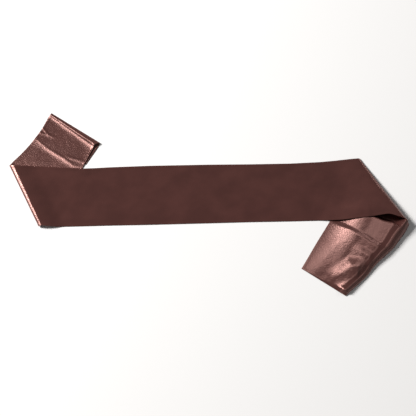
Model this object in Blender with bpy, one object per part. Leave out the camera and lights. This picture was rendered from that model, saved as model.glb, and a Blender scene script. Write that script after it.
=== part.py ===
"""A satin sash laid out on a table.

One long strip of satin lies in four stretches. The main stretch is on top. At its left end the cloth turns
under and comes out behind it as the left panel, whose own end is turned back underneath. At its right end the
cloth turns under in a loose roll with an open mouth, and comes out in front as the tail, whose front margin is
rolled up and over along its length.

Sizes are in millimetres, in a frame with +X to the right along the main stretch, +Y away from the viewer and
+Z up from the table. The strip's two long sides are called back and front, as they lie on the main stretch.
"""

import math
from collections import namedtuple

import bmesh
import bpy
from mathutils import Vector

MM = 0.001

# Cloth
WALL = 1.2
GAP = 0.3
FLOOR = WALL / 2
PLY_STEP = WALL + GAP
SATIN_COLOUR = (0.105, 0.040, 0.033, 1.0)
SATIN_ROUGHNESS = 0.38

# Where the origin lies from the point that the tables below are measured from
ORIGIN_X = -1.0
ORIGIN_Y = 14.45

# One end of a turn, where an edge of the strip goes round: the outermost point in plan, the run from there to
# where the upper ply starts to bend, the run to where the lower ply lies flat, and the height between plies.
Loop = namedtuple("Loop", "tip_x tip_y up_x up_y low_x low_y height")
Turn = namedtuple("Turn", "back front")

LEFT_TURN = Turn(
    back=Loop(-510, 112, 26, -1, 9, 12, 8.5),
    front=Loop(-428, -49, 28, 1, 10, 13, 11.0),
)
PANEL_TURN = Turn(
    back=Loop(-408, 255, -14, -18, -9, -13, 6.5),
    front=Loop(-279, 173, -16, -20, -5, -11, 10.0),
)
RIGHT_TURN = Turn(
    back=Loop(389, 131, -14, -1, -7, -13, 6.5),
    front=Loop(508, -39, -62, 13, -10, -15, 24.0),
)

# The main stretch's long edges, from left to right
MainEdge = namedtuple("MainEdge", "x back_y front_y")
MAIN_EDGES = (
    MainEdge(-500, 112, -50),
    MainEdge(-406, 109, -50),
    MainEdge(-321, 104, -48),
    MainEdge(-252, 108, -46),
    MainEdge(-149, 112, -44),
    MainEdge(0, 115, -40),
    MainEdge(108, 116, -37),
    MainEdge(211, 118, -35),
    MainEdge(288, 122, -33),
    MainEdge(340, 127, -31),
    MainEdge(380, 130, -29),
    MainEdge(450, 131, -26),
)

# How far the left panel's edges bow from straight, towards the front
PANEL_BACK_BOW = 7.0
PANEL_FRONT_BOW = 4.0

# The end that is turned back under the panel
RETURN_BACK_LENGTH = 44.0
RETURN_FRONT_LENGTH = 32.0
RETURN_DIRECTION = (-0.47, -0.88)

# The tail, from the right turn to the cut end: the back edge, the outermost line of the rolled front margin,
# the width and height of that roll, and the height of the ridge just inside it
TailRow = namedtuple("TailRow", "back_x back_y front_x front_y roll_width roll_height ridge")
TAIL_ROWS = (
    TailRow(381, 116, 500, -53, 11, 9.0, 0.0),
    TailRow(364, 80, 493, -67, 11, 8.5, 4.0),
    TailRow(344, 38, 481, -85, 11, 8.0, 9.0),
    TailRow(325, -2, 465, -106, 10, 7.5, 9.0),
    TailRow(309, -33, 443, -126, 8, 7.0, 7.0),
    TailRow(290, -64, 418, -149, 8, 6.5, 6.5),
    TailRow(271, -94, 396, -176, 9, 6.5, 7.5),
    TailRow(252, -126, 369, -201, 10, 6.5, 8.5),
    TailRow(233, -157, 341, -226, 10, 6.5, 9.0),
)
RIDGE_INSET = 7.0
RIDGE_WIDTH = 15.0

# Places across the tail, as shares of the cloth's width: where it falls behind the ridge, reaches the table,
# starts round the roll and comes over its top
TAIL_CREST_SHARE = 0.80
TAIL_GROOVE_SHARE = 0.85
TAIL_ROLL_SHARE = 0.90
TAIL_OVER_SHARE = 0.96

# The line in plan where the tail's cloth has risen from the mouth and from under the main stretch
RisePlace = namedtuple("RisePlace", "x y")
RISE_LINE = (
    RisePlace(250, -48),
    RisePlace(380, -45),
    RisePlace(398, -40),
    RisePlace(412, -36),
    RisePlace(441, -41),
    RisePlace(467, -51),
    RisePlace(484, -66),
    RisePlace(500, -90),
)
RISE_LENGTH = 13.0

# Distances over which a ply settles beside a turn, and slopes down off the edge of a ply under it
SETTLE_LENGTH = 48.0
MOUTH_SETTLE_LENGTH = 74.0
STEP_LENGTH = 14.0

# The largest folds in the cloth: a ridge has a height over nought, and a trough one under nought
Crease = namedtuple("Crease", "x0 y0 x1 y1 width height")
PANEL_CREASES = (
    Crease(-443, 183, -375, 133, 7, 2.2),
    Crease(-375, 133, -331, 112, 7, 1.8),
    Crease(-438, 210, -392, 188, 7, 1.8),
)
TAIL_PUFF = 4.5
TAIL_CREASES = (
    Crease(312, -36, 395, -78, 8, -3.6),
    Crease(395, -78, 440, -100, 9, -4.2),
    Crease(371, -109, 412, -130, 9, -3.4),
    Crease(380, -149, 312, -176, 13, -4.0),
)

# Straight lines just outside the panel's front edge and the tail's back edge, under the main stretch
PANEL_FRONT_LINE = ((-410, -36), (-287, 153))
TAIL_BACK_LINE = ((374, 118), (301, -33))

# The angle round the right turn that leaves a gap between the main stretch and the tail at its narrow end
TURN_GAP_ANGLE = 0.16

# How finely each piece is divided, along the strip and across it
MAIN_STEPS = 44
PLY_STEPS = 14
TURN_STEPS = 9
HALF_TURN_STEPS = 6
ACROSS_STEPS = 10
RETURN_STEPS = 5
TAIL_STEPS = 30
TAIL_ACROSS_STEPS = 50


def mix(a, b, t):
    return a + (b - a) * t


def smoothstep(t):
    t = min(max(t, 0.0), 1.0)
    return t * t * (3 - 2 * t)


def smooth_row(rows, t, column):
    """A column of a table at t, from 0 on the first row to 1 on the last, on a smooth curve through the rows."""
    place = min(max(t, 0.0), 1.0) * (len(rows) - 1)
    i = min(int(place), len(rows) - 2)
    q = place - i
    near = [getattr(rows[min(max(k, 0), len(rows) - 1)], column) for k in range(i - 1, i + 3)]
    slope_in = (near[2] - near[0]) / 2
    slope_out = (near[3] - near[1]) / 2
    bend = near[1] - near[2]
    curve = 2 * bend + slope_in + slope_out
    return near[1] + q * (slope_in + q * (-3 * bend - 2 * slope_in - slope_out + q * curve))


def straight_row(rows, x, column):
    """A column of a table at x, on straight lines between the rows."""
    for left, right in zip(rows, rows[1:]):
        if x <= right.x:
            return mix(getattr(left, column), getattr(right, column), (x - left.x) / (right.x - left.x))
    return getattr(rows[-1], column)


def main_edge(x, column):
    """The y of one of the main stretch's edges at x."""
    return straight_row(MAIN_EDGES, x, column)


def relief(creases, x, y):
    """The height that the creases give at a place: each fades out to its sides and past its ends."""
    total = 0.0
    for crease in creases:
        run = Vector((crease.x1 - crease.x0, crease.y1 - crease.y0))
        reach = Vector((x - crease.x0, y - crease.y0))
        along = min(max(reach.dot(run) / run.length_squared, 0.0), 1.0)
        aside = (reach - run * along).length / crease.width
        total += crease.height * math.exp(-aside * aside)
    return total


def loop_point(loop, angle):
    """A point on one end of a turn, from angle 0 on top, through a right angle at the tip, to pi underneath."""
    short = 1 - math.sin(angle)
    if angle <= math.pi / 2:
        x, y = loop.tip_x + loop.up_x * short, loop.tip_y + loop.up_y * short
    else:
        x, y = loop.tip_x + loop.low_x * short, loop.tip_y + loop.low_y * short
    return Vector((x, y, FLOOR + loop.height * (1 + math.cos(angle)) / 2))


def turn_point(turn, angle, across):
    return loop_point(turn.back, angle).lerp(loop_point(turn.front, angle), across)


def over_edge(x, y, start, end):
    """From 0 to 1 as a ply climbs on to another ply that lies to the left of the line from start to end."""
    run = Vector(end) - Vector(start)
    aside = (run.x * (y - start[1]) - run.y * (x - start[0])) / run.length
    return smoothstep(1 + aside / STEP_LENGTH)


def main_rest_height(x, y):
    """The height of the main stretch's middle surface away from its turns: it lies on the panel and the tail."""
    covered = over_edge(x, y, *PANEL_FRONT_LINE) if x < 0 else over_edge(x, y, *TAIL_BACK_LINE)
    return FLOOR + PLY_STEP * covered


def main_point(along, across):
    """The main stretch, from the top of the left turn to the top of the right turn."""
    start = turn_point(LEFT_TURN, 0, across)
    end = turn_point(RIGHT_TURN, 0, across)
    x = mix(start.x, end.x, along)
    y = mix(main_edge(x, "back_y"), main_edge(x, "front_y"), across)
    y += (start.y - mix(main_edge(start.x, "back_y"), main_edge(start.x, "front_y"), across)) * (1 - smoothstep(
        (x - start.x) / SETTLE_LENGTH))
    y += (end.y - mix(main_edge(end.x, "back_y"), main_edge(end.x, "front_y"), across)) * (1 - smoothstep(
        (end.x - x) / SETTLE_LENGTH))
    rest = main_rest_height(x, y)
    right_settle = mix(SETTLE_LENGTH, MOUTH_SETTLE_LENGTH, across)
    rise = (start.z - rest) * (1 - smoothstep((x - start.x) / SETTLE_LENGTH))
    rise += (end.z - rest) * (1 - smoothstep((end.x - x) / right_settle))
    return Vector((x, y, rest + rise))


def panel_point(along, across):
    """The left panel, from under the left turn to the top of its own turn."""
    start = turn_point(LEFT_TURN, math.pi, across)
    end = turn_point(PANEL_TURN, 0, across)
    point = start.lerp(end, along)
    run = end - start
    bow = mix(PANEL_BACK_BOW, PANEL_FRONT_BOW, across) * 4 * along * (1 - along)
    point.x += bow * run.y / run.length
    point.y -= bow * run.x / run.length
    back = run.length * (1 - along)
    settled = smoothstep(back / SETTLE_LENGTH)
    return_length = mix(RETURN_BACK_LENGTH, RETURN_FRONT_LENGTH, across)
    stacked = smoothstep(0.5 + (return_length - back) / STEP_LENGTH)
    rest = FLOOR + PLY_STEP * stacked
    point.z = mix(end.z, rest, settled)
    uncovered = smoothstep((point.y - main_edge(point.x, "back_y")) / STEP_LENGTH - 1)
    point.z += max(relief(PANEL_CREASES, point.x, point.y), 0) * uncovered * settled
    return point


def return_point(along, across):
    """The end that is turned back underneath the panel, from its turn to its cut."""
    start = turn_point(PANEL_TURN, math.pi, across)
    length = mix(RETURN_BACK_LENGTH, RETURN_FRONT_LENGTH, across)
    return start + Vector((RETURN_DIRECTION[0], RETURN_DIRECTION[1], 0)) * length * along


def tail_row(along):
    """The named values of the tail's cross-section at a place along it."""
    return TailRow(*(smooth_row(TAIL_ROWS, along, column) for column in TailRow._fields))


def tail_top_height(row, place, from_back, to_groove):
    """The height of the tail's open face: soft puffs and creases, with a ridge beside the rolled margin."""
    ridge = row.ridge * math.exp(-((to_groove - RIDGE_INSET) / RIDGE_WIDTH) ** 2)
    puff = TAIL_PUFF * smoothstep(from_back / (2 * STEP_LENGTH)) + relief(TAIL_CREASES, place.x, place.y)
    risen = smoothstep((straight_row(RISE_LINE, place.x, "y") - place.y) / RISE_LENGTH + 1)
    falls = smoothstep(to_groove / RIDGE_INSET)
    return max(ridge + max(puff, 0), 0) * risen * falls


def tail_point(along, across):
    """The tail: over its open face, down behind the ridge, under the rolled margin, and up and over to its edge."""
    row = tail_row(along)
    back = Vector((row.back_x, row.back_y))
    front = Vector((row.front_x, row.front_y))
    aside = (front - back).normalized()
    length = (front - back).length
    groove = length - row.roll_width
    half = row.roll_height / 2
    if across <= TAIL_GROOVE_SHARE:
        crest = groove - RIDGE_INSET
        if across <= TAIL_CREST_SHARE:
            distance = crest * across / TAIL_CREST_SHARE
        else:
            share = (across - TAIL_CREST_SHARE) / (TAIL_GROOVE_SHARE - TAIL_CREST_SHARE)
            distance = mix(crest, groove, share)
        height = tail_top_height(row, back + aside * distance, distance, groove - distance)
    elif across <= TAIL_ROLL_SHARE:
        distance = mix(groove, length - half, (across - TAIL_GROOVE_SHARE) / (TAIL_ROLL_SHARE - TAIL_GROOVE_SHARE))
        height = 0
    elif across <= TAIL_OVER_SHARE:
        angle = math.pi * (across - TAIL_ROLL_SHARE) / (TAIL_OVER_SHARE - TAIL_ROLL_SHARE)
        distance = length - half + half * math.sin(angle)
        height = half * (1 - math.cos(angle))
    else:
        over = (across - TAIL_OVER_SHARE) / (1 - TAIL_OVER_SHARE)
        distance = mix(length - half, groove + WALL, over)
        height = row.roll_height - half * over * over
    place = back + aside * distance
    return Vector((place.x, place.y, FLOOR + height))


def right_turn_under_point(angle, across):
    """The lower half of the right turn, where the cloth's front margin starts to roll up."""
    rolled = smoothstep(2 * angle / math.pi - 1)
    return turn_point(RIGHT_TURN, angle, across).lerp(tail_point(0, across), rolled)


def main_stretch(step, across):
    """The main stretch, from under the left turn to the outermost line of the right one."""
    across /= ACROSS_STEPS
    if step < TURN_STEPS:
        return turn_point(LEFT_TURN, math.pi * (1 - step / TURN_STEPS), across)
    if step <= TURN_STEPS + MAIN_STEPS:
        return main_point((step - TURN_STEPS) / MAIN_STEPS, across)
    upper = (step - TURN_STEPS - MAIN_STEPS) / HALF_TURN_STEPS
    return turn_point(RIGHT_TURN, math.pi / 2 * upper, across)


def left_panel(step, across):
    """The left panel with its own turn. It starts a gap away from the main stretch's cloth."""
    across /= ACROSS_STEPS
    if step <= PLY_STEPS:
        length = (turn_point(PANEL_TURN, 0, across) - turn_point(LEFT_TURN, math.pi, across)).length
        return panel_point(mix(GAP / length, 1, step / PLY_STEPS), across)
    return turn_point(PANEL_TURN, math.pi * (step - PLY_STEPS) / TURN_STEPS, across)


def turned_back_end(step, across):
    """The hidden end, a gap away from the panel's cloth."""
    return return_point(mix(GAP / RETURN_FRONT_LENGTH, 1, step / RETURN_STEPS), across / ACROSS_STEPS)


def tail(step, across):
    """The tail, from a gap past the outermost line of the right turn to its cut end."""
    across /= TAIL_ACROSS_STEPS
    if step < HALF_TURN_STEPS:
        start = math.pi / 2 + TURN_GAP_ANGLE
        return right_turn_under_point(mix(start, math.pi, step / HALF_TURN_STEPS), across)
    return tail_point((step - HALF_TURN_STEPS) / TAIL_STEPS, across)


def satin(name):
    material = bpy.data.materials.new(name)
    material.use_nodes = True
    shader = material.node_tree.nodes["Principled BSDF"]
    shader.inputs["Base Color"].default_value = SATIN_COLOUR
    shader.inputs["Roughness"].default_value = SATIN_ROUGHNESS
    return material


def cloth(name, surface, steps_along, steps_across):
    """A wall of cloth whose middle surface is the named function of its steps along and across the strip."""
    mesh = bpy.data.meshes.new(name)
    sheet = bmesh.new()
    bmesh.ops.create_grid(sheet, x_segments=steps_along, y_segments=steps_across, size=0.5)
    for vertex in sheet.verts:
        step = round((vertex.co.x + 0.5) * steps_along)
        across = round((0.5 - vertex.co.y) * steps_across)
        point = surface(step, across)
        vertex.co = (point - Vector((ORIGIN_X, ORIGIN_Y, 0))) * MM
    sheet.to_mesh(mesh)
    sheet.free()
    mesh.shade_smooth()
    piece = bpy.data.objects.new(name, mesh)
    bpy.context.scene.collection.objects.link(piece)
    piece.data.materials.append(satin(name + "_satin"))
    wall = piece.modifiers.new("wall", "SOLIDIFY")
    wall.thickness = WALL * MM
    wall.offset = 0
    wall.use_even_offset = True
    return piece


def build_sash():
    cloth("main_stretch", main_stretch, TURN_STEPS + MAIN_STEPS + HALF_TURN_STEPS, ACROSS_STEPS)
    cloth("left_panel", left_panel, PLY_STEPS + TURN_STEPS, ACROSS_STEPS)
    cloth("turned_back_end", turned_back_end, RETURN_STEPS, ACROSS_STEPS)
    cloth("tail", tail, HALF_TURN_STEPS + TAIL_STEPS, TAIL_ACROSS_STEPS)


for old in list(bpy.data.objects):
    bpy.data.objects.remove(old)
build_sash()
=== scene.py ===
"""The look of a satin sash laid out on a pale table.

The sash is one strip of dark satin with a narrow hem all round. It is a single thin sheet that follows the
strip from its hidden end to its cut end: turned back under the left panel, out from behind the main stretch,
along the main stretch on top, round the loose roll at the right, and out in front as the tail.

Sizes are in millimetres, in a frame with +X to the right along the main stretch, +Y away from the viewer and
+Z up from the table. The strip's long sides are called back and front, as they lie on the main stretch.
"""

import math
from collections import namedtuple

import bmesh
import bpy
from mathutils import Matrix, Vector, noise


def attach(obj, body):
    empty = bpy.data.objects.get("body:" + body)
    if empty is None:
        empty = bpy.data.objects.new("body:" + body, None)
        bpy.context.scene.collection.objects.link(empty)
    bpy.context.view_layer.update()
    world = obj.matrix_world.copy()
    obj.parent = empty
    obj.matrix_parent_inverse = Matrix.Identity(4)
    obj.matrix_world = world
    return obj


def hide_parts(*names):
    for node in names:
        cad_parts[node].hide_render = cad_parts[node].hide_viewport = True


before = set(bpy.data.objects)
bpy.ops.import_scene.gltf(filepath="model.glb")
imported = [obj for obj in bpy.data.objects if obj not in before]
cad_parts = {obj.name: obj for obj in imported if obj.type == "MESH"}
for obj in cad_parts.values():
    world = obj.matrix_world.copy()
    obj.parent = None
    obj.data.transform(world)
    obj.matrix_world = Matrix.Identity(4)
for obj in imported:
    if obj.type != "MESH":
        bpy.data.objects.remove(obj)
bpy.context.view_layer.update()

MM = 0.001

# Where the part's origin lies in the frame of the tables below
ORIGIN = Vector((-1.0, 14.45, 0.0))

# The cloth. The solid that it lies in has a wall of 1.2 mm, and its own middle surface is that wall's.
SOLID_WALL = 1.2
FLOOR = SOLID_WALL / 2
PLY_STEP = 1.0
CLOTH_THICKNESS = 0.38
HEM_THICKNESS = 0.8
HEM_WIDTH = 5.0
STRIP_WIDTH = 152.4

# One end of a turn, where an edge of the strip goes round: the outermost point in plan, the run from there to
# where the upper ply starts to bend, the run to where the lower ply lies flat, the height between the plies,
# the share of that height at which the outermost point is, and how round the upper part is (2 for an ellipse,
# and less for a flatter slope below a sharper crest)
Loop = namedtuple("Loop", "tip_x tip_y up_x up_y low_x low_y height tip_share roundness")
Turn = namedtuple("Turn", "back front")

LEFT_TURN = Turn(
    back=Loop(-510, 112, 14, -1, 9, 12, 9.5, 0.35, 1.45),
    front=Loop(-428, -49, 9, 1, 10, 13, 9, 0.35, 1.45),
)
PANEL_TURN = Turn(
    back=Loop(-408, 255, -3, -5, -9, -13, 3.5, 0.4, 1.7),
    front=Loop(-279, 173, -14, -5, -5, -11, 6, 0.4, 1.7),
)
RIGHT_TURN = Turn(
    back=Loop(389, 131, -8, -1, -7, -13, 5, 0.4, 1.6),
    front=Loop(504, -38, -15, 9, -2, -8, 24, 0.55, 1.3),
)

# The main stretch's long edges, from left to right
MainEdge = namedtuple("MainEdge", "x back_y front_y")
MAIN_EDGES = (
    MainEdge(-500, 112, -50),
    MainEdge(-406, 109, -50),
    MainEdge(-321, 104, -48),
    MainEdge(-252, 108, -46),
    MainEdge(-149, 112, -44),
    MainEdge(0, 115, -40),
    MainEdge(108, 116, -37),
    MainEdge(211, 118, -35),
    MainEdge(288, 122, -33),
    MainEdge(340, 127, -33),
    MainEdge(380, 130, -30),
    MainEdge(411, 131, -27),
    MainEdge(450, 131, -21),
)

# How far the left panel's edges bow from straight, towards the front
PANEL_BACK_BOW = 7.0
PANEL_FRONT_BOW = 9.0

# The end that is turned back under the panel: how its edges run, and how far from the fold a ply lies on it
RETURN_BACK_RUN = Vector((-24, -50, 0))
RETURN_FRONT_RUN = Vector((-30, -47, 0))
RETURN_REACH = 75.0

# The tail, from the right turn to the cut end: the back edge, the outermost line of the front margin, how far
# the margin slopes down outwards to that line, and the height of the crest that it slopes down from
TailRow = namedtuple("TailRow", "back_x back_y front_x front_y side_reach crest_height")
TAIL_ROWS = (
    TailRow(381, 116, 507, -46, 14, 12.5),
    TailRow(364, 80, 497, -64, 17, 14.5),
    TailRow(344, 38, 481, -85, 18, 14.0),
    TailRow(325, -2, 465, -106, 16, 12.0),
    TailRow(309, -33, 443, -126, 13, 10.5),
    TailRow(290, -64, 418, -149, 10, 8.5),
    TailRow(271, -94, 396, -176, 9, 8.5),
    TailRow(252, -126, 369, -201, 10, 10.5),
    TailRow(233, -157, 341, -226, 11, 12.5),
)

# The ridge at the crest: its width, its smaller width at the loop, and the share of the tail's length after
# which it is at its full width
RIDGE_WIDTH = 17.0
LOOP_RIDGE_WIDTH = 7.0
LOOP_RIDGE_END = 0.3

# The front margin: how round its slope is, how small it turns in under the tail, how high and how far in it
# carries the cloth above it, and how softly that cloth steps down off it
SIDE_ROUNDNESS = 1.4
TUCK_RADIUS = 1.0
TUCK_STEP = 1.7
TUCK_LENGTH = 12.0
TUCK_EASE = 6.0

# Places across the tail, as shares of the cloth's width: the crest, the outermost line, and where the margin
# lies flat under the tail
TAIL_CREST_SHARE = 0.80
TAIL_SIDE_SHARE = 0.905
TAIL_TUCK_SHARE = 0.925

# The dark crease just outside the crest
CREASE_DEPTH = 1.1
CREASE_OFFSET = 2.8
CREASE_WIDTH = 1.6

# The line in plan where the tail's cloth has risen from the mouth and from under the main stretch, and the
# length over which it rises
RisePlace = namedtuple("RisePlace", "x y length")
RISE_LINE = (
    RisePlace(250, -18, 50),
    RisePlace(385, -20, 50),
    RisePlace(402, -25, 24),
    RisePlace(418, -29, 10),
    RisePlace(441, -39, 9),
    RisePlace(467, -45, 9),
    RisePlace(484, -60, 10),
    RisePlace(500, -86, 16),
)

# Distances over which a ply settles beside a turn, and slopes down off the edge of a ply under it
SETTLE_LENGTH = 60.0
EDGE_SETTLE_LENGTH = 36.0
MOUTH_SETTLE_LENGTH = 115.0
STEP_LENGTH = 26.0

# The left panel: how steeply it falls away from its outermost fold, how high its front edge curls up, where
# that starts across it, and how far behind the main stretch the curl and the wrinkles have their full height
PANEL_SETTLE_SLOPE = 0.8
PANEL_CURL_HEIGHT = 1.2
PANEL_CURL_SHARE = 0.84
PANEL_CURL_FADE = 34.0
PANEL_RIDGE_FADE = 10.0

# The puffed face of the tail: its height at the cut end, how evenly it rises from there, and how far from the
# back edge it has its full height
TAIL_END_HEIGHT = 1.0
TAIL_FALL = 0.085
PUFF_REACH = 80.0

# Where the main stretch is lifted by the tail under it: how far outside the tail's edge that starts, and the
# lines behind which it isn't lifted and in front of which it is lifted fully
MAIN_LEAD = 20.0
PUFF_START_Y = 40.0
PUFF_FULL_Y = -30.0

# A terrace's slow fall, in widths of its rise, and how near the tail's back edge the terraces start
TERRACE_FALL = 3.0
TERRACE_START = 0.4

# The tail's cut end: on its front side the cloth slopes down to the table before it ends
END_DROP_BACK_X = 264.0
END_DROP_FRONT_X = 326.0
END_DROP_BACK_LENGTH = 1.0
END_DROP_FRONT_LENGTH = 10.0

# Folds in the cloth, each along a line through its points. A ridge is highest on its line, and a terrace is a
# rise towards the left of its line, which then falls off slowly.
FoldPoint = namedtuple("FoldPoint", "x y width height")
PANEL_RIDGES = (
    (FoldPoint(-452, 192, 3, 0), FoldPoint(-443, 183, 3, 0.25), FoldPoint(-416, 159, 3.5, 0.5),
     FoldPoint(-394, 145, 4, 0.75), FoldPoint(-372, 132, 4, 0.8), FoldPoint(-348, 114, 3.5, 0.65),
     FoldPoint(-331, 107, 3, 0.5)),
    (FoldPoint(-372, 141, 3, 0), FoldPoint(-362, 136, 3, 0.5), FoldPoint(-347, 131, 3, 0.6),
     FoldPoint(-320, 122, 3, 0.5)),
    (FoldPoint(-434, 221, 3, 0.5), FoldPoint(-424, 208, 3, 0.6), FoldPoint(-413, 195, 3.5, 0.6),
     FoldPoint(-386, 184, 4, 0)),
    (FoldPoint(-441, 205, 3, 0.5), FoldPoint(-428, 199, 3, 0.5), FoldPoint(-413, 194, 3, 0)),
)
TAIL_TERRACES = (
    (FoldPoint(452, -112, 14, 0), FoldPoint(422, -96, 17, 4.2), FoldPoint(395, -78, 17, 4.4),
     FoldPoint(358, -55, 13, 3.4), FoldPoint(321, -37, 12, 2.0), FoldPoint(300, -25, 12, 0)),
    (FoldPoint(418, -134, 13, 0), FoldPoint(404, -122, 18, 3.8), FoldPoint(386, -110, 18, 2.8),
     FoldPoint(362, -98, 16, 0)),
    (FoldPoint(398, -150, 18, 0), FoldPoint(380, -142, 28, 5.4), FoldPoint(352, -140, 32, 6.8),
     FoldPoint(326, -158, 32, 5.2), FoldPoint(296, -176, 26, 0)),
)
TAIL_RIDGES = (
    (FoldPoint(412, -136, 3, 0), FoldPoint(404, -140, 3, 1.6), FoldPoint(398, -148, 3, 1.8),
     FoldPoint(390, -150, 3, 0)),
)
MAIN_RIDGES = (
    (FoldPoint(-440, 70, 12, 0), FoldPoint(-425, 20, 12, 0.5), FoldPoint(-405, -40, 12, 0)),
    (FoldPoint(-352, 90, 12, 0), FoldPoint(-347, 30, 14, 0.5), FoldPoint(-342, -40, 12, 0)),
    (FoldPoint(382, 98, 8, 0), FoldPoint(409, 71, 9, 0.6), FoldPoint(429, 50, 9, 0.4),
     FoldPoint(440, 30, 8, 0)),
    (FoldPoint(404, 6, 6, 0), FoldPoint(404, -10, 7, 1.2), FoldPoint(404, -32, 7, 1.5)),
)

# Straight lines along the panel's outermost fold, and just outside the panel's front edge and the tail's back
# edge under the main stretch
PANEL_END_LINE = ((-279, 173), (-408, 255))
PANEL_FRONT_LINE = ((-410, -36), (-287, 153))
TAIL_BACK_LINE = ((374, 118), (301, -33))

# Unevenness of the whole cloth, slow and quick, which breaks up its shine: its height, the distance between
# its rises and its layer of the noise, and how far the slow one is lifted
UNEVEN_HEIGHT = 0.35
UNEVEN_SPACING = 46.0
UNEVEN_LAYER = 3.0
UNEVEN_LIFT = 0.5
SLACK_HEIGHT = 0.12
SLACK_SPACING = 13.0
SLACK_LAYER = 9.0

# How finely the sheet is divided along the strip, in the order of its stretches
RETURN_STEPS = 8
PANEL_TURN_STEPS = 16
PANEL_STEPS = 76
LEFT_TURN_STEPS = 20
MAIN_STEPS = 190
RIGHT_TURN_STEPS = 40
TAIL_STEPS = 130

# How finely it is divided across: the hem's own columns, and the spacing elsewhere
HEM_COLUMNS = (0.0, 1.2, 3.0, 4.6, 5.0, 5.7)
BODY_SPACING = 2.6
ROLL_SPACING = 0.9
ROLL_START = 128.0

# The satin's colour from dark to light, over cloudy patches, and its fine grain. A scale is in repeats for
# each metre across and along the strip, and the depth is in metres.
SATIN_DARK = (0.062, 0.023, 0.020, 1.0)
SATIN_LIGHT = (0.078, 0.029, 0.025, 1.0)
CLOUD_SCALE = (26.0, 18.0, 1.0)
CLOUD_DETAIL = 2.0
CLOUD_DARK_END = 0.3
CLOUD_LIGHT_END = 0.7
GRAIN_SCALE = (420.0, 300.0, 1.0)
GRAIN_DETAIL = 3.0
GRAIN_STRENGTH = 0.8
GRAIN_DEPTH = 0.0004

# The satin's shine
SATIN_ROUGHNESS = 0.31
SATIN_ANISOTROPY = 0.92
SATIN_IOR = 1.85
SATIN_SPECULAR = 1.0
SATIN_TINT = (1.0, 0.56, 0.50, 1.0)

# The table top, whose size is in metres
TABLE_HALF_SIZE = 3.0
TABLE_COLOUR = (0.93, 0.93, 0.93, 1.0)
TABLE_ROUGHNESS = 0.9

# The camera looks down steeply, at the photo's angle. The target and the distances are in metres.
CAMERA_TARGET = Vector((0.00065, -0.01445, 0.0))
CAMERA_ELEVATION = math.radians(75)
CAMERA_DISTANCE = 2.495
CAMERA_LENS = 85
CAMERA_SENSOR = 36

# The lamps, each at an azimuth that runs from +X towards +Y
Lamp = namedtuple("Lamp", "name azimuth elevation distance size power colour")
LAMPS = (
    Lamp("key", 156, 33, 7.0, 1.8, 860, (1.0, 0.98, 0.96)),
    Lamp("rim", 34, 30, 7.0, 1.2, 45, (1.0, 0.97, 0.96)),
)
AMBIENT = 0.10


def mix(a, b, t):
    return a + (b - a) * t


def smoothstep(t):
    t = min(max(t, 0.0), 1.0)
    return t * t * (3 - 2 * t)


def smooth_row(rows, t, column):
    """A column of a table at t, 0 on its first row and 1 on its last, on a smooth curve."""
    place = min(max(t, 0.0), 1.0) * (len(rows) - 1)
    i = min(int(place), len(rows) - 2)
    q = place - i
    near = [getattr(rows[min(max(k, 0), len(rows) - 1)], column) for k in range(i - 1, i + 3)]
    slope_in = (near[2] - near[0]) / 2
    slope_out = (near[3] - near[1]) / 2
    bend = near[1] - near[2]
    curve = 2 * bend + slope_in + slope_out
    return near[1] + q * (slope_in + q * (-3 * bend - 2 * slope_in - slope_out + q * curve))


def straight_row(rows, x, column):
    """A column of a table at x, on straight lines between the rows."""
    for left, right in zip(rows, rows[1:]):
        if x <= right.x:
            return mix(getattr(left, column), getattr(right, column), (x - left.x) / (right.x - left.x))
    return getattr(rows[-1], column)


def main_edge(x, column):
    """The y of one of the main stretch's edges at x."""
    return straight_row(MAIN_EDGES, x, column)


def nearest_on_fold(points, x, y):
    """How far a place is from a fold's line, positive on its left, and the fold's width and height there."""
    found = None
    for start, end in zip(points, points[1:]):
        run_x, run_y = end.x - start.x, end.y - start.y
        away_x, away_y = x - start.x, y - start.y
        share = (away_x * run_x + away_y * run_y) / (run_x * run_x + run_y * run_y)
        share = min(max(share, 0.0), 1.0)
        away_x -= run_x * share
        away_y -= run_y * share
        distance = math.hypot(away_x, away_y)
        if found is None or distance < abs(found[0]):
            side = 1 if run_x * away_y - run_y * away_x >= 0 else -1
            width = mix(start.width, end.width, share)
            height = mix(start.height, end.height, share)
            found = (side * distance, width, height)
    return found


def ridge_height(ridges, x, y):
    total = 0.0
    for points in ridges:
        distance, width, height = nearest_on_fold(points, x, y)
        total += height * math.exp(-(distance / width) ** 2)
    return total


def terrace_height(terraces, x, y):
    """The height of rises that each end in a long slow slope."""
    total = 0.0
    for points in terraces:
        distance, width, height = nearest_on_fold(points, x, y)
        past = max(distance - width / 2, 0)
        total += height * smoothstep(0.5 + distance / width) * math.exp(-past / (TERRACE_FALL * width))
    return total


def rounded(angle, roundness):
    """The shares out and up on a quarter of a superellipse, from its top at 0 to its side at pi / 2."""
    return math.sin(angle) ** (2 / roundness), max(math.cos(angle), 0.0) ** (2 / roundness)


def loop_point(loop, angle):
    """A point on one end of a turn: angle 0 is on top, a right angle at the tip, and pi underneath."""
    if angle <= math.pi / 2:
        out, rise = rounded(angle, loop.roundness)
        x = loop.tip_x + loop.up_x * (1 - out)
        y = loop.tip_y + loop.up_y * (1 - out)
        height = mix(loop.tip_share, 1, rise)
    else:
        short = 1 - math.sin(angle)
        x = loop.tip_x + loop.low_x * short
        y = loop.tip_y + loop.low_y * short
        height = loop.tip_share * (1 + math.cos(angle))
    return Vector((x, y, FLOOR + loop.height * height))


def turn_point(turn, angle, across):
    return loop_point(turn.back, angle).lerp(loop_point(turn.front, angle), across)


def beyond_line(x, y, line):
    """How far a place in plan is to the left of a line through two points."""
    start, end = line
    run = Vector(end) - Vector(start)
    return (run.x * (y - start[1]) - run.y * (x - start[0])) / run.length


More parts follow.
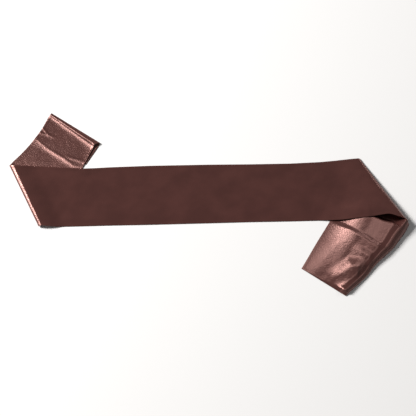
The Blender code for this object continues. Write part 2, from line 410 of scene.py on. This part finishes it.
def over_edge(x, y, line):
    """From 0 to 1 as a ply climbs on to another ply that lies to the left of a line."""
    return smoothstep(1 + beyond_line(x, y, line) / STEP_LENGTH)


def over_return(x, y):
    """From 0 to 1 as a ply climbs on to the end that is turned back under the panel."""
    return smoothstep(1 + (RETURN_REACH - beyond_line(x, y, PANEL_END_LINE)) / STEP_LENGTH)


def to_cut_end(x, y):
    """How far a place is from the line of the tail's cut end."""
    last = TAIL_ROWS[-1]
    return beyond_line(x, y, ((last.back_x, last.back_y), (last.front_x, last.front_y)))


def tail_base_height(x, y):
    """The height of the puffed tail above its lowest, which falls evenly towards its cut end."""
    return TAIL_END_HEIGHT + TAIL_FALL * max(to_cut_end(x, y), 0)


def main_rest_height(x, y):
    """The height of the main stretch away from its turns, where it lies on the panel and the tail."""
    if x < 0:
        return FLOOR + PLY_STEP * over_edge(x, y, PANEL_FRONT_LINE) * (1 + over_return(x, y))
    inside = smoothstep((beyond_line(x, y, TAIL_BACK_LINE) + MAIN_LEAD) / (PUFF_REACH + MAIN_LEAD))
    puffed = smoothstep((PUFF_START_Y + MAIN_LEAD - y) / (PUFF_START_Y - PUFF_FULL_Y))
    return FLOOR + PLY_STEP * over_edge(x, y, TAIL_BACK_LINE) + tail_base_height(x, y) * inside * puffed


def main_line(x, across):
    """The y of a line along the main stretch, which is its back edge at 0 and its front edge at 1."""
    return mix(main_edge(x, "back_y"), main_edge(x, "front_y"), across)


def main_point(along, across):
    """The main stretch, from the top of the left turn to the top of the right turn."""
    start = turn_point(LEFT_TURN, 0, across)
    end = turn_point(RIGHT_TURN, 0, across)
    x = mix(start.x, end.x, along)
    from_start = x - start.x
    to_end = end.x - x
    y = main_line(x, across)
    y += (start.y - main_line(start.x, across)) * (1 - smoothstep(from_start / EDGE_SETTLE_LENGTH))
    y += (end.y - main_line(end.x, across)) * (1 - smoothstep(to_end / EDGE_SETTLE_LENGTH))
    rest = main_rest_height(x, y)
    right_settle = mix(SETTLE_LENGTH, MOUTH_SETTLE_LENGTH, across)
    rise = (start.z - rest) * (1 - smoothstep(from_start / SETTLE_LENGTH))
    rise += (end.z - rest) * (1 - smoothstep(to_end / right_settle))
    rise += ridge_height(MAIN_RIDGES, x, y)
    return Vector((x, y, rest + rise))


def panel_point(along, across):
    """The left panel, from under the left turn to the top of its own turn."""
    start = turn_point(LEFT_TURN, math.pi, across)
    end = turn_point(PANEL_TURN, 0, across)
    point = start.lerp(end, along)
    run = end - start
    bow = mix(PANEL_BACK_BOW, PANEL_FRONT_BOW, across) * 4 * along * (1 - along)
    point.x += bow * run.y / run.length
    point.y -= bow * run.x / run.length
    to_fold = run.length * (1 - along)
    rest = FLOOR + PLY_STEP * over_return(point.x, point.y)
    rise = end.z - FLOOR - PLY_STEP
    settled = 1 - math.exp(-to_fold * PANEL_SETTLE_SLOPE / rise)
    beyond = point.y - main_edge(point.x, "back_y")
    free = smoothstep(beyond / PANEL_CURL_FADE)
    curl = max(across - PANEL_CURL_SHARE, 0) / (1 - PANEL_CURL_SHARE)
    point.z = rest + rise * (1 - settled) * free
    point.z += PANEL_CURL_HEIGHT * curl * curl * free * settled
    point.z += ridge_height(PANEL_RIDGES, point.x, point.y) * smoothstep(beyond / PANEL_RIDGE_FADE)
    return point


def return_point(along, across):
    """The end that is turned back underneath the panel, from its turn to its cut."""
    start = turn_point(PANEL_TURN, math.pi, across)
    return start + RETURN_BACK_RUN.lerp(RETURN_FRONT_RUN, across) * along


def tail_row(along):
    """The named values of the tail's cross-section at a place along it."""
    return TailRow(*(smooth_row(TAIL_ROWS, along, column) for column in TailRow._fields))


def tail_risen(place):
    """From 0 inside the mouth and under the main stretch to 1 where the tail's cloth has its full height."""
    length = straight_row(RISE_LINE, place.x, "length")
    return smoothstep((straight_row(RISE_LINE, place.x, "y") - place.y) / length + 1)


def before_end(place):
    """From 1 to 0 where the tail slopes down to the table at its cut end, most of all on its front side."""
    forward = smoothstep((place.x - END_DROP_BACK_X) / (END_DROP_FRONT_X - END_DROP_BACK_X))
    drop = mix(END_DROP_BACK_LENGTH, END_DROP_FRONT_LENGTH, forward)
    return min(max(to_cut_end(place.x, place.y), 0) / drop, 1.0)


def tail_top_height(row, along, place, from_back, to_crest):
    """The height of the tail's open face above its lowest, with its puffs and the ridge at its crest."""
    inside = from_back / PUFF_REACH
    puff = tail_base_height(place.x, place.y) * smoothstep(inside)
    puff += terrace_height(TAIL_TERRACES, place.x, place.y) * smoothstep(inside + TERRACE_START)
    puff += ridge_height(TAIL_RIDGES, place.x, place.y)
    width = mix(LOOP_RIDGE_WIDTH, RIDGE_WIDTH, smoothstep(along / LOOP_RIDGE_END))
    return mix(puff * tail_risen(place), max(row.crest_height, puff), math.exp(-(to_crest / width) ** 2))


def tail_point(along, across):
    """The tail: over its open face to the crest, down the outward slope, and in under itself on the table."""
    row = tail_row(along)
    back = Vector((row.back_x, row.back_y))
    front = Vector((row.front_x, row.front_y))
    aside = (front - back).normalized()
    length = (front - back).length
    crest = length - row.side_reach
    if across <= TAIL_SIDE_SHARE:
        if across <= TAIL_CREST_SHARE:
            distance = crest * across / TAIL_CREST_SHARE
            share_up = 1.0
            crease = 0.0
        else:
            turned = (across - TAIL_CREST_SHARE) / (TAIL_SIDE_SHARE - TAIL_CREST_SHARE)
            out, share_up = rounded(turned * math.pi / 2, SIDE_ROUNDNESS)
            distance = mix(crest, length, out)
            crease = math.exp(-((distance - crest - CREASE_OFFSET) / CREASE_WIDTH) ** 2)
        place = back + aside * distance
        low = TUCK_STEP * smoothstep((distance - length + TUCK_LENGTH) / TUCK_EASE + 1)
        on_face = back + aside * min(distance, crest)
        top = tail_top_height(row, along, on_face, distance, max(crest - distance, 0))
        top = mix(low, max(top, low), before_end(place))
        height = mix(TUCK_RADIUS, top - CREASE_DEPTH * crease * min(top / row.crest_height, 1), share_up)
    elif across <= TAIL_TUCK_SHARE:
        angle = (across - TAIL_SIDE_SHARE) / (TAIL_TUCK_SHARE - TAIL_SIDE_SHARE) * math.pi / 2
        distance = length - TUCK_RADIUS * (1 - math.cos(angle))
        height = TUCK_RADIUS * (1 - math.sin(angle))
    else:
        distance = length - TUCK_RADIUS - TUCK_LENGTH * (across - TAIL_TUCK_SHARE) / (1 - TAIL_TUCK_SHARE)
        height = 0
    place = back + aside * distance
    return Vector((place.x, place.y, FLOOR + height))


def right_turn_point(angle, across):
    """The right turn. In its lower half the cloth's front margin starts to tuck under."""
    tucked = smoothstep(2 * angle / math.pi - 1)
    return turn_point(RIGHT_TURN, angle, across).lerp(tail_point(0, across), tucked)


# The strip's stretches in order, each with the values that its function takes at its two ends
Stretch = namedtuple("Stretch", "surface start end steps")
STRETCHES = (
    Stretch(return_point, 1.0, 0.0, RETURN_STEPS),
    Stretch(lambda angle, across: turn_point(PANEL_TURN, angle, across), math.pi, 0.0, PANEL_TURN_STEPS),
    Stretch(panel_point, 1.0, 0.0, PANEL_STEPS),
    Stretch(lambda angle, across: turn_point(LEFT_TURN, angle, across), math.pi, 0.0, LEFT_TURN_STEPS),
    Stretch(main_point, 0.0, 1.0, MAIN_STEPS),
    Stretch(right_turn_point, 0.0, math.pi, RIGHT_TURN_STEPS),
    Stretch(tail_point, 0.0, 1.0, TAIL_STEPS),
)


def strip_rows():
    """The function and value for each row of the sheet, from the hidden end to the cut end of the tail."""
    rows = [(STRETCHES[0].surface, STRETCHES[0].start)]
    for stretch in STRETCHES:
        for step in range(1, stretch.steps + 1):
            rows.append((stretch.surface, mix(stretch.start, stretch.end, step / stretch.steps)))
    return rows


def strip_columns():
    """Places across the strip, closer together in the hems and where the tail's margin rolls."""
    body = list(HEM_COLUMNS)
    while body[-1] < STRIP_WIDTH - HEM_COLUMNS[-1] - ROLL_SPACING:
        body.append(body[-1] + (BODY_SPACING if body[-1] < ROLL_START else ROLL_SPACING))
    return body[:-1] + [STRIP_WIDTH - hem for hem in reversed(HEM_COLUMNS)]


def unevenness(along_mm, across_mm):
    """A small height that stops the cloth from lying like a board. It fades out towards the edges."""
    slow = noise.noise(Vector((along_mm / UNEVEN_SPACING, across_mm / UNEVEN_SPACING, UNEVEN_LAYER)))
    quick = noise.noise(Vector((along_mm / SLACK_SPACING, across_mm / SLACK_SPACING, SLACK_LAYER)))
    edge = smoothstep(min(across_mm, STRIP_WIDTH - across_mm) / STEP_LENGTH)
    shown = smoothstep((along_mm - RETURN_BACK_RUN.length) / STEP_LENGTH)
    return max(UNEVEN_HEIGHT * (slow + UNEVEN_LIFT) + SLACK_HEIGHT * quick, 0) * edge * shown


def to_world(point):
    return (point - ORIGIN) * MM


def add_object(name, data):
    made = bpy.data.objects.new(name, data)
    bpy.context.scene.collection.objects.link(made)
    return made


def strip_points():
    """Rows of points on the cloth's middle surface, how far along the strip each is, and the columns."""
    columns = strip_columns()
    points = []
    distances = []
    for surface, value in strip_rows():
        row = [surface(value, column / STRIP_WIDTH) for column in columns]
        if points:
            reached = [far + (here - last).length for far, here, last in zip(distances[-1], row, points[-1])]
        else:
            reached = [0.0] * len(columns)
        points.append(row)
        distances.append(reached)
    for row, reached in zip(points, distances):
        for point, distance, column in zip(row, reached, columns):
            point.z += unevenness(distance, column)
    return points, distances, columns


def add_satin_sheet(points, distances, columns):
    """The cloth itself, one thin sheet with a thicker hem all round, and a UV map in metres of cloth."""
    sheet = bmesh.new()
    weave = sheet.loops.layers.uv.new("weave")
    hem = sheet.verts.layers.deform.new()
    last_row = len(points) - 1
    last_column = len(columns) - 1
    bmesh.ops.create_grid(sheet, x_segments=last_row, y_segments=last_column, size=0.5)
    places = {}
    for vertex in sheet.verts:
        row = round((vertex.co.x + 0.5) * last_row)
        column = round((vertex.co.y + 0.5) * last_column)
        places[vertex] = (row, column)
        vertex.co = to_world(points[row][column])
    for face in sheet.faces:
        for corner in face.loops:
            row, column = places[corner.vert]
            corner[weave].uv = (columns[column] * MM, distances[row][column] * MM)
    for vertex, (row, column) in places.items():
        to_side = min(columns[column], STRIP_WIDTH - columns[column])
        to_end = min(distances[row][column], distances[-1][column] - distances[row][column])
        hemmed = min(to_side, to_end) <= HEM_WIDTH
        vertex[hem][0] = 1.0 if hemmed else CLOTH_THICKNESS / HEM_THICKNESS
    mesh = bpy.data.meshes.new("satin_sheet")
    sheet.to_mesh(mesh)
    sheet.free()
    mesh.shade_smooth()
    piece = add_object("satin_sheet", mesh)
    piece.vertex_groups.new(name="hem")
    wall = piece.modifiers.new("cloth", "SOLIDIFY")
    wall.thickness = HEM_THICKNESS * MM
    wall.offset = 0
    wall.vertex_group = "hem"
    wall.use_rim = True
    return piece


def node(tree, kind, **settings):
    made = tree.nodes.new(kind)
    for name, value in settings.items():
        setattr(made, name, value)
    return made


def cloth_noise(tree, uv, scale, detail):
    """A noise that lies on the cloth's own UV map."""
    scaled = node(tree, "ShaderNodeMapping")
    scaled.inputs["Scale"].default_value = scale
    tree.links.new(uv.outputs["UV"], scaled.inputs["Vector"])
    made = node(tree, "ShaderNodeTexNoise", noise_dimensions="2D")
    made.inputs["Scale"].default_value = 1.0
    made.inputs["Detail"].default_value = detail
    tree.links.new(scaled.outputs["Vector"], made.inputs["Vector"])
    return made.outputs["Fac"]


def satin_material():
    """Dark brown satin. Its threads lie along the strip, so that its shine spreads across them."""
    material = bpy.data.materials.new("dark_satin")
    material.use_nodes = True
    tree = material.node_tree
    shader = tree.nodes["Principled BSDF"]
    uv = node(tree, "ShaderNodeUVMap", uv_map="weave")
    tangent = node(tree, "ShaderNodeTangent", direction_type="UV_MAP", uv_map="weave")
    tree.links.new(tangent.outputs["Tangent"], shader.inputs["Tangent"])

    bump = node(tree, "ShaderNodeBump")
    bump.inputs["Strength"].default_value = GRAIN_STRENGTH
    bump.inputs["Distance"].default_value = GRAIN_DEPTH
    tree.links.new(cloth_noise(tree, uv, GRAIN_SCALE, GRAIN_DETAIL), bump.inputs["Height"])
    tree.links.new(bump.outputs["Normal"], shader.inputs["Normal"])

    tone = node(tree, "ShaderNodeValToRGB")
    dark, light = tone.color_ramp.elements
    dark.position = CLOUD_DARK_END
    dark.color = SATIN_DARK
    light.position = CLOUD_LIGHT_END
    light.color = SATIN_LIGHT
    tree.links.new(cloth_noise(tree, uv, CLOUD_SCALE, CLOUD_DETAIL), tone.inputs["Fac"])
    tree.links.new(tone.outputs["Color"], shader.inputs["Base Color"])

    shader.inputs["Roughness"].default_value = SATIN_ROUGHNESS
    shader.inputs["Anisotropic"].default_value = SATIN_ANISOTROPY
    shader.inputs["IOR"].default_value = SATIN_IOR
    shader.inputs["Specular IOR Level"].default_value = SATIN_SPECULAR
    shader.inputs["Specular Tint"].default_value = SATIN_TINT
    return material


def add_table():
    """The plain pale table top."""
    top = bmesh.new()
    bmesh.ops.create_grid(top, x_segments=1, y_segments=1, size=TABLE_HALF_SIZE)
    mesh = bpy.data.meshes.new("table_top")
    top.to_mesh(mesh)
    top.free()
    table = add_object("table_top", mesh)
    material = bpy.data.materials.new("pale_table")
    material.use_nodes = True
    shader = material.node_tree.nodes["Principled BSDF"]
    shader.inputs["Base Color"].default_value = TABLE_COLOUR
    shader.inputs["Roughness"].default_value = TABLE_ROUGHNESS
    mesh.materials.append(material)
    return table


def direction(azimuth, elevation):
    """The unit vector towards a place in the sky: azimuth runs from +X towards +Y."""
    turn, rise = math.radians(azimuth), math.radians(elevation)
    return Vector((math.cos(turn) * math.cos(rise), math.sin(turn) * math.cos(rise), math.sin(rise)))


def add_camera():
    lens = bpy.data.cameras.new("camera")
    lens.lens = CAMERA_LENS
    lens.sensor_width = CAMERA_SENSOR
    camera = add_object("camera", lens)
    away = Vector((0, -math.cos(CAMERA_ELEVATION), math.sin(CAMERA_ELEVATION)))
    camera.location = CAMERA_TARGET + away * CAMERA_DISTANCE
    camera.rotation_euler = (math.pi / 2 - CAMERA_ELEVATION, 0, 0)
    bpy.context.scene.camera = camera


def add_lights():
    for lamp in LAMPS:
        light = bpy.data.lights.new(lamp.name, "AREA")
        light.shape = "SQUARE"
        light.size = lamp.size
        light.energy = lamp.power
        light.color = lamp.colour
        holder = add_object(lamp.name, light)
        towards = direction(lamp.azimuth, lamp.elevation)
        holder.location = CAMERA_TARGET + towards * lamp.distance
        holder.rotation_euler = (-towards).to_track_quat("-Z", "Y").to_euler()
    world = bpy.data.worlds.new("studio")
    world.use_nodes = True
    world.node_tree.nodes["Background"].inputs["Color"].default_value = (1, 1, 1, 1)
    world.node_tree.nodes["Background"].inputs["Strength"].default_value = AMBIENT
    bpy.context.scene.world = world
    bpy.context.scene.view_settings.view_transform = "Standard"


def main():
    points, distances, columns = strip_points()
    table = add_table()
    cloth = add_satin_sheet(points, distances, columns)
    cloth.data.materials.append(satin_material())
    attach(cloth, "root")
    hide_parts("main_stretch", "left_panel", "turned_back_end", "tail")
    add_lights()
    add_camera()


main()
